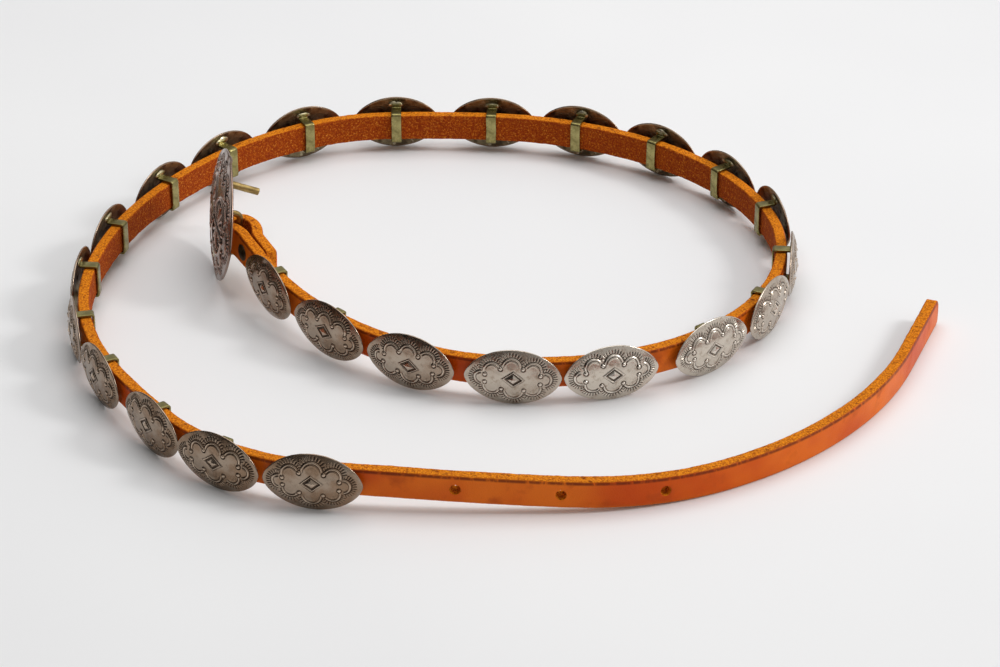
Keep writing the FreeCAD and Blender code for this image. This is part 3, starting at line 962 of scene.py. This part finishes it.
def strip_section(half_wide, half_thick, bevel=0.16):
    """Outline of a flat strip with softened edges."""
    half = np.array([
        (half_wide, half_thick - bevel), (half_wide - 0.3 * bevel, half_thick - 0.3 * bevel),
        (half_wide - bevel, half_thick), (half_wide * 0.45, half_thick),
        (-half_wide * 0.45, half_thick), (bevel - half_wide, half_thick),
        (0.3 * bevel - half_wide, half_thick - 0.3 * bevel), (-half_wide, half_thick - bevel),
    ])
    return np.concatenate([half, -half])


def keeper_mesh(number):
    """Strip bent square round the leather, its feet turned out on the concho's back."""
    rng = np.random.default_rng(900 + number)
    half = 5.45 + rng.uniform(-0.05, 0.05)
    low = -5.6
    foot = 0.55 + rng.uniform(-0.1, 0.1)
    corners = [
        (0, half + 1.9, foot - 0.15), (0, half, foot), (0, half, low),
        (0, -half, low), (0, -half, foot), (0, -half - 1.9, foot - 0.15),
    ]
    path = divided(rounded_path(np.array(corners, float), 0.62), 0.5)
    path[:, 0] += 0.10 * lattice_noise(path[:, 1] / 4, path[:, 2] / 4, 80 + number)
    return swept(path, strip_section(KEEPER_BAND / 2, 0.38))


LIT_AND_POLISHED_CONCHO = 5.4    # the brightest conchos, on the side that faces the key light: partly painted light, partly real polish; it fades away from here on both sides
LIT_AND_POLISHED_SPREAD = 2.1


def solder_lumps(number):
    """Two drops of solder on each foot of a keeper."""
    rng = np.random.default_rng(1200 + number)
    lumps = []
    for side in (1, -1):
        for _drop in range(2):
            centre = (
                rng.uniform(-0.9, 0.9), side * rng.uniform(6.3, 7.0),
                CONCHO_SHEET + rng.uniform(-0.1, 0.1),
            )
            radii = (rng.uniform(1.9, 2.7), rng.uniform(0.9, 1.4), rng.uniform(0.45, 0.60))
            lumps.append(blob(int(rng.integers(1000)), centre, radii))
    return gathered(lumps)


def make_conchos():
    for number in range(1, CONCHOS + 1):
        label = "%02d" % number
        body = "concho_" + label
        place = concho_placement(number)
        dome = domed_sheet(
            "stamped_" + label, CONCHO_HALF_LENGTH, CONCHO_HALF_HEIGHT, CONCHO_POWER,
            concho_profile(number), concho_stamp(number), 84, 400,
        )
        # Conchos near the key-lit side get a brighter tone: partly real polish, partly painted light.
        lit_and_rubbed_share = math.exp(-((number - LIT_AND_POLISHED_CONCHO) / LIT_AND_POLISHED_SPREAD) ** 2)
        layer = dome.data.attributes.new("lit_and_polished", "FLOAT", "POINT")
        layer.data.foreach_set("value", np.full(len(dome.data.vertices), lit_and_rubbed_share, np.float32))
        dome.matrix_world = place
        dress(dome, SILVER, body, "silver", "concho_" + label)
        loop = new_piece("loop_" + label, *keeper_mesh(number))
        loop.matrix_world = place
        dress(loop, KEEPER_BRASS, body, "brass", "keeper_" + label)
        solder = new_piece("solder_" + label, *solder_lumps(number))
        solder.matrix_world = place
        dress(solder, SOLDER, body, "brass")


# ---------------------------------------------------------------- the buckle
PLATE_SCALLOPS = [
    (22.0, 0.0, 0, 4.1), (15.8, 7.6, 50, 4.0), (8.1, 11.9, 74, 4.0), (-0.2, 13.2, 90, 3.7),
    (-8.5, 11.8, 106, 4.0), (-16.0, 7.5, 130, 4.0), (-22.0, 0.0, 180, 4.1),
    (-16.0, -7.5, 230, 4.0), (-8.5, -11.8, 254, 4.0), (-0.2, -13.2, 270, 3.7),
    (8.1, -11.9, 286, 4.0), (15.8, -7.6, 310, 4.0),
]
FAN_CENTRE = 9.4
FAN_RADIUS = 9.6
PLATE_POWER = 1.36
PLATE_SHEET = 0.95
PLATE_DOME = 2.35
PLATE_EDGE = 0.45


def plate_stamp(x, y):
    """Scallops round the border, a groove along the middle and a rayed fan in each half."""
    marks = scallop_marks(x, y, PLATE_SCALLOPS, 13, 1.45, 1.9)
    ahead = np.abs(x) - FAN_CENTRE
    reach = np.hypot(ahead, y)
    angle = np.arctan2(np.abs(y), ahead)
    inside = 1 - smooth_step(FAN_RADIUS + 0.8, FAN_RADIUS + 1.5, reach)
    comb = np.clip(np.cos(angle * 17), -0.5, 1)
    rays = comb * smooth_step(1.8, 3.2, reach) * (1 - smooth_step(7.6, 8.6, reach))
    arc = 0.50 * hump(reach - FAN_RADIUS, 0.55) - 0.45 * hump(reach - FAN_RADIUS + 1.1, 0.42)
    rib = 0.30 * hump(np.abs(y) - 1.5, 0.45) - 0.75 * hump(y, 0.55)
    cross = -0.6 * hump(x, 0.45)
    field = 0.42 * rays * smooth_step(1.2, 2.2, np.abs(y)) + arc + rib + cross
    return np.where(inside > 0.01, marks * (1 - inside) + field * inside, marks)


def plate_front(share, theta):
    """Height of the plate's face, with a small notch in the rim at the top and bottom."""
    notch = -0.6 * np.exp(-((np.abs(np.sin(theta)) - 1) / 0.0030) ** 2) * share ** 6
    return PLATE_SHEET + PLATE_DOME * (1 - share ** 2.1) + notch


def lathe(profile, seed, wobble, around=40):
    """Closed turned form about local Z from (radius, height) pairs, slightly out of round."""
    angle = turns(around)
    rings = []
    for radius, height in profile:
        grown = radius * (1 + wobble * lattice_noise(angle * 1.5, angle * 0 + height, seed))
        rings.append(np.stack([
            grown * np.cos(angle), grown * np.sin(angle), np.full(around, float(height)),
        ], -1))
    return capped(rings, [[0, 0, profile[0][1]], [0, 0, profile[-1][1]]])


def round_section(radius, around=24):
    angle = turns(around)
    return np.stack([radius * np.cos(angle), radius * np.sin(angle)], -1)


def make_buckle():
    place = plate_placement()
    plate = domed_sheet(
        "stamped_buckle_plate", PLATE_HALF_LENGTH, PLATE_HALF_HEIGHT, PLATE_POWER,
        {"front": plate_front, "thick": PLATE_SHEET, "edge": PLATE_EDGE}, plate_stamp, 150, 760,
    )
    plate.matrix_world = place
    dress(plate, PLATE_SILVER, "buckle", "silver", "buckle_plate")

    middle = (place.inverted() @ (bar_centre() * MM)) / MM
    half = BAR_SPAN / 2
    corners = [
        (middle.x, middle.y - half, PLATE_DOME), (middle.x, middle.y - half, middle.z),
        (middle.x, middle.y + half, middle.z), (middle.x, middle.y + half, PLATE_DOME),
    ]
    route = divided(rounded_path(np.array(corners, float), BAR_BEND, 10), 0.4)
    rod = new_piece("bent_bar", *swept(route, round_section(BAR_ROD / 2)))
    rod.matrix_world = place
    dress(rod, ROD_BRASS, "buckle", "brass", "buckle_bar")

    stud = [
        (0.9, 0.0), (1.9, 0.05), (2.3, 0.35), (2.2, 0.75), (1.75, 1.15), (1.38, 1.7), (1.24, 2.4),
        (PRONG_RADIUS, 3.4), (PRONG_RADIUS - 0.02, 5.0), (PRONG_RADIUS, 7.0),
        (PRONG_RADIUS - 0.03, 9.0), (PRONG_RADIUS - 0.01, 11.0),
        (PRONG_RADIUS - 0.02, PRONG_LENGTH - 0.55), (PRONG_RADIUS - 0.05, PRONG_LENGTH - 0.25),
        (PRONG_RADIUS - 0.16, PRONG_LENGTH - 0.06),
        (PRONG_RADIUS - 0.32, PRONG_LENGTH), (0.45, PRONG_LENGTH + 0.02),
    ]
    prong = new_piece("hook_stud", *lathe(stud, 5, 0.04))
    root = Matrix.Translation(Vector((-PRONG_OFFSET, 0, prong_root_height())) * MM)
    prong.matrix_world = place @ root @ Matrix.Rotation(math.radians(180 - PRONG_DROOP), 4, "X")
    dress(prong, ROD_BRASS, "buckle", "brass", "prong")

    lumps = [
        blob(31, (middle.x, middle.y - half, plate_back(middle.x, half) - 0.1), (2.4, 2.2, 0.8)),
        blob(32, (middle.x + 0.4, middle.y + half, plate_back(middle.x, half) - 0.1), (2.4, 2.3, 0.8)),
        blob(33, (-PRONG_OFFSET, 0.2, prong_root_height() - 0.2), (2.6, 2.3, 0.6)),
    ]
    solder = new_piece("buckle_solder", *gathered(lumps))
    solder.matrix_world = place
    dress(solder, SOLDER, "buckle", "brass")


def plate_back(along, high):
    """Height of the plate's hollow side at a place, from its rim plane."""
    share = math.hypot(along / PLATE_HALF_LENGTH, high / PLATE_HALF_HEIGHT)
    return float(plate_front(share, np.zeros(1))[0]) - PLATE_SHEET


def prong_root_height():
    return plate_back(PRONG_OFFSET, 0.0) + 0.1


def make_rivet():
    """Low domed head on the strap's face, hollow peened burr on the flap's."""
    here, tangent, normal, _up = frame_at(RIVET_STATION)
    reach = 4 * STRAP_HALF_THICK + FLAP_SLIT
    profile = [
        (0.4, 0.75), (1.6, 0.66), (2.6, 0.42), (3.0, 0.12), (2.9, -0.02), (1.25, -0.05),
        (1.25, -reach + 0.05), (2.8, -reach), (3.0, -reach - 0.15), (2.7, -reach - 0.45),
        (1.5, -reach - 0.62), (1.05, -reach - 0.55), (0.85, -reach - 0.2), (0.4, -reach - 0.1),
    ]
    rivet = new_piece("peened_rivet", *lathe(profile[::-1], 8, 0.015))
    face = here + normal * STRAP_HALF_THICK
    rivet.matrix_world = placement(face, tangent, normal)
    # The rivet's near-black finish is painted shade.
    dress(rivet, SHADE_DARK_RIVET_BRASS, "buckle_run", "brass", "fold_rivet")


make_strap()
make_conchos()
make_buckle()
make_rivet()


# ---------------------------------------------------------------- floor, light, camera
FLOOR_HALF = 3500.0
LIGHT_WAY = (0.94, 0.36, 0.24)          # the surroundings are brightest in this direction
SKY_LEVELS = (-0.8, 0.9, 0.02, 0.84)    # from, to: how far along it; dimmest, brightest
SKY_COLOUR = (1.0, 0.995, 0.985, 1)
CAMERA_LENS = 132.7
CAMERA_PLACE = (-1.43, -1093.96, 611.6)
CAMERA_DIP = 29.54                      # degrees below the horizon


def floor_surface():
    s = Surface("pale_floor", Roughness=0.65)
    tone = s.noise(s.place(), 3.0, 3)
    colour = s.mix(s.step(tone, 0.3, 0.7), (0.83, 0.83, 0.84), (0.87, 0.87, 0.875))
    return s.finish(Base_color=colour)


def make_floor():
    half = FLOOR_HALF
    corners = [(-half, -half, 0), (half, -half, 0), (half, half, 0), (-half, half, 0)]
    floor = new_piece("floor", corners, [[[0, 1, 2, 3]]])
    floor.data.materials.append(floor_surface())


def soft_light(name, place, target, power, side):
    """Square area light; places in metres."""
    light = bpy.data.lights.new(name, "AREA")
    light.shape = "SQUARE"
    light.size = side
    light.energy = power
    lamp = bpy.data.objects.new(name, light)
    bpy.context.scene.collection.objects.link(lamp)
    lamp.location = place
    aim = Vector(target) - Vector(place)
    lamp.rotation_euler = aim.to_track_quat("-Z", "Y").to_euler()


def studio_sky():
    """Plain surroundings: light from the right and behind, dim at the front left."""
    world = bpy.data.worlds.new("studio")
    world.use_nodes = True
    tree = world.node_tree
    way = tree.nodes.new("ShaderNodeTexCoord").outputs["Generated"]
    along = tree.nodes.new("ShaderNodeVectorMath")
    along.operation = "DOT_PRODUCT"
    along.inputs[1].default_value = LIGHT_WAY
    level = tree.nodes.new("ShaderNodeMapRange")
    for index, value in enumerate(SKY_LEVELS):
        level.inputs[index + 1].default_value = value
    tree.links.new(way, along.inputs[0])
    tree.links.new(along.outputs["Value"], level.inputs[0])
    tree.links.new(level.outputs[0], tree.nodes["Background"].inputs[1])
    tree.nodes["Background"].inputs[0].default_value = SKY_COLOUR
    return world


def make_studio():
    soft_light("right_softbox", (1.35, -0.10, 1.1), (0, 0, 0), 8.6, 0.4)
    soft_light("overhead", (0.0, 0.17, 0.78), (0, 0.08, 0), 3.0, 0.7)
    bpy.context.scene.world = studio_sky()
    bpy.context.scene.view_settings.view_transform = "Standard"


def make_camera():
    camera = bpy.data.cameras.new("camera")
    camera.sensor_width = 36.0
    camera.lens = CAMERA_LENS
    camera.clip_end = 20
    eye = bpy.data.objects.new("camera", camera)
    bpy.context.scene.collection.objects.link(eye)
    eye.location = Vector(CAMERA_PLACE) * MM
    eye.rotation_euler = (math.radians(90 - CAMERA_DIP), 0, 0)
    bpy.context.scene.camera = eye


make_floor()
make_studio()
make_camera()

bpy.context.view_layer.update()
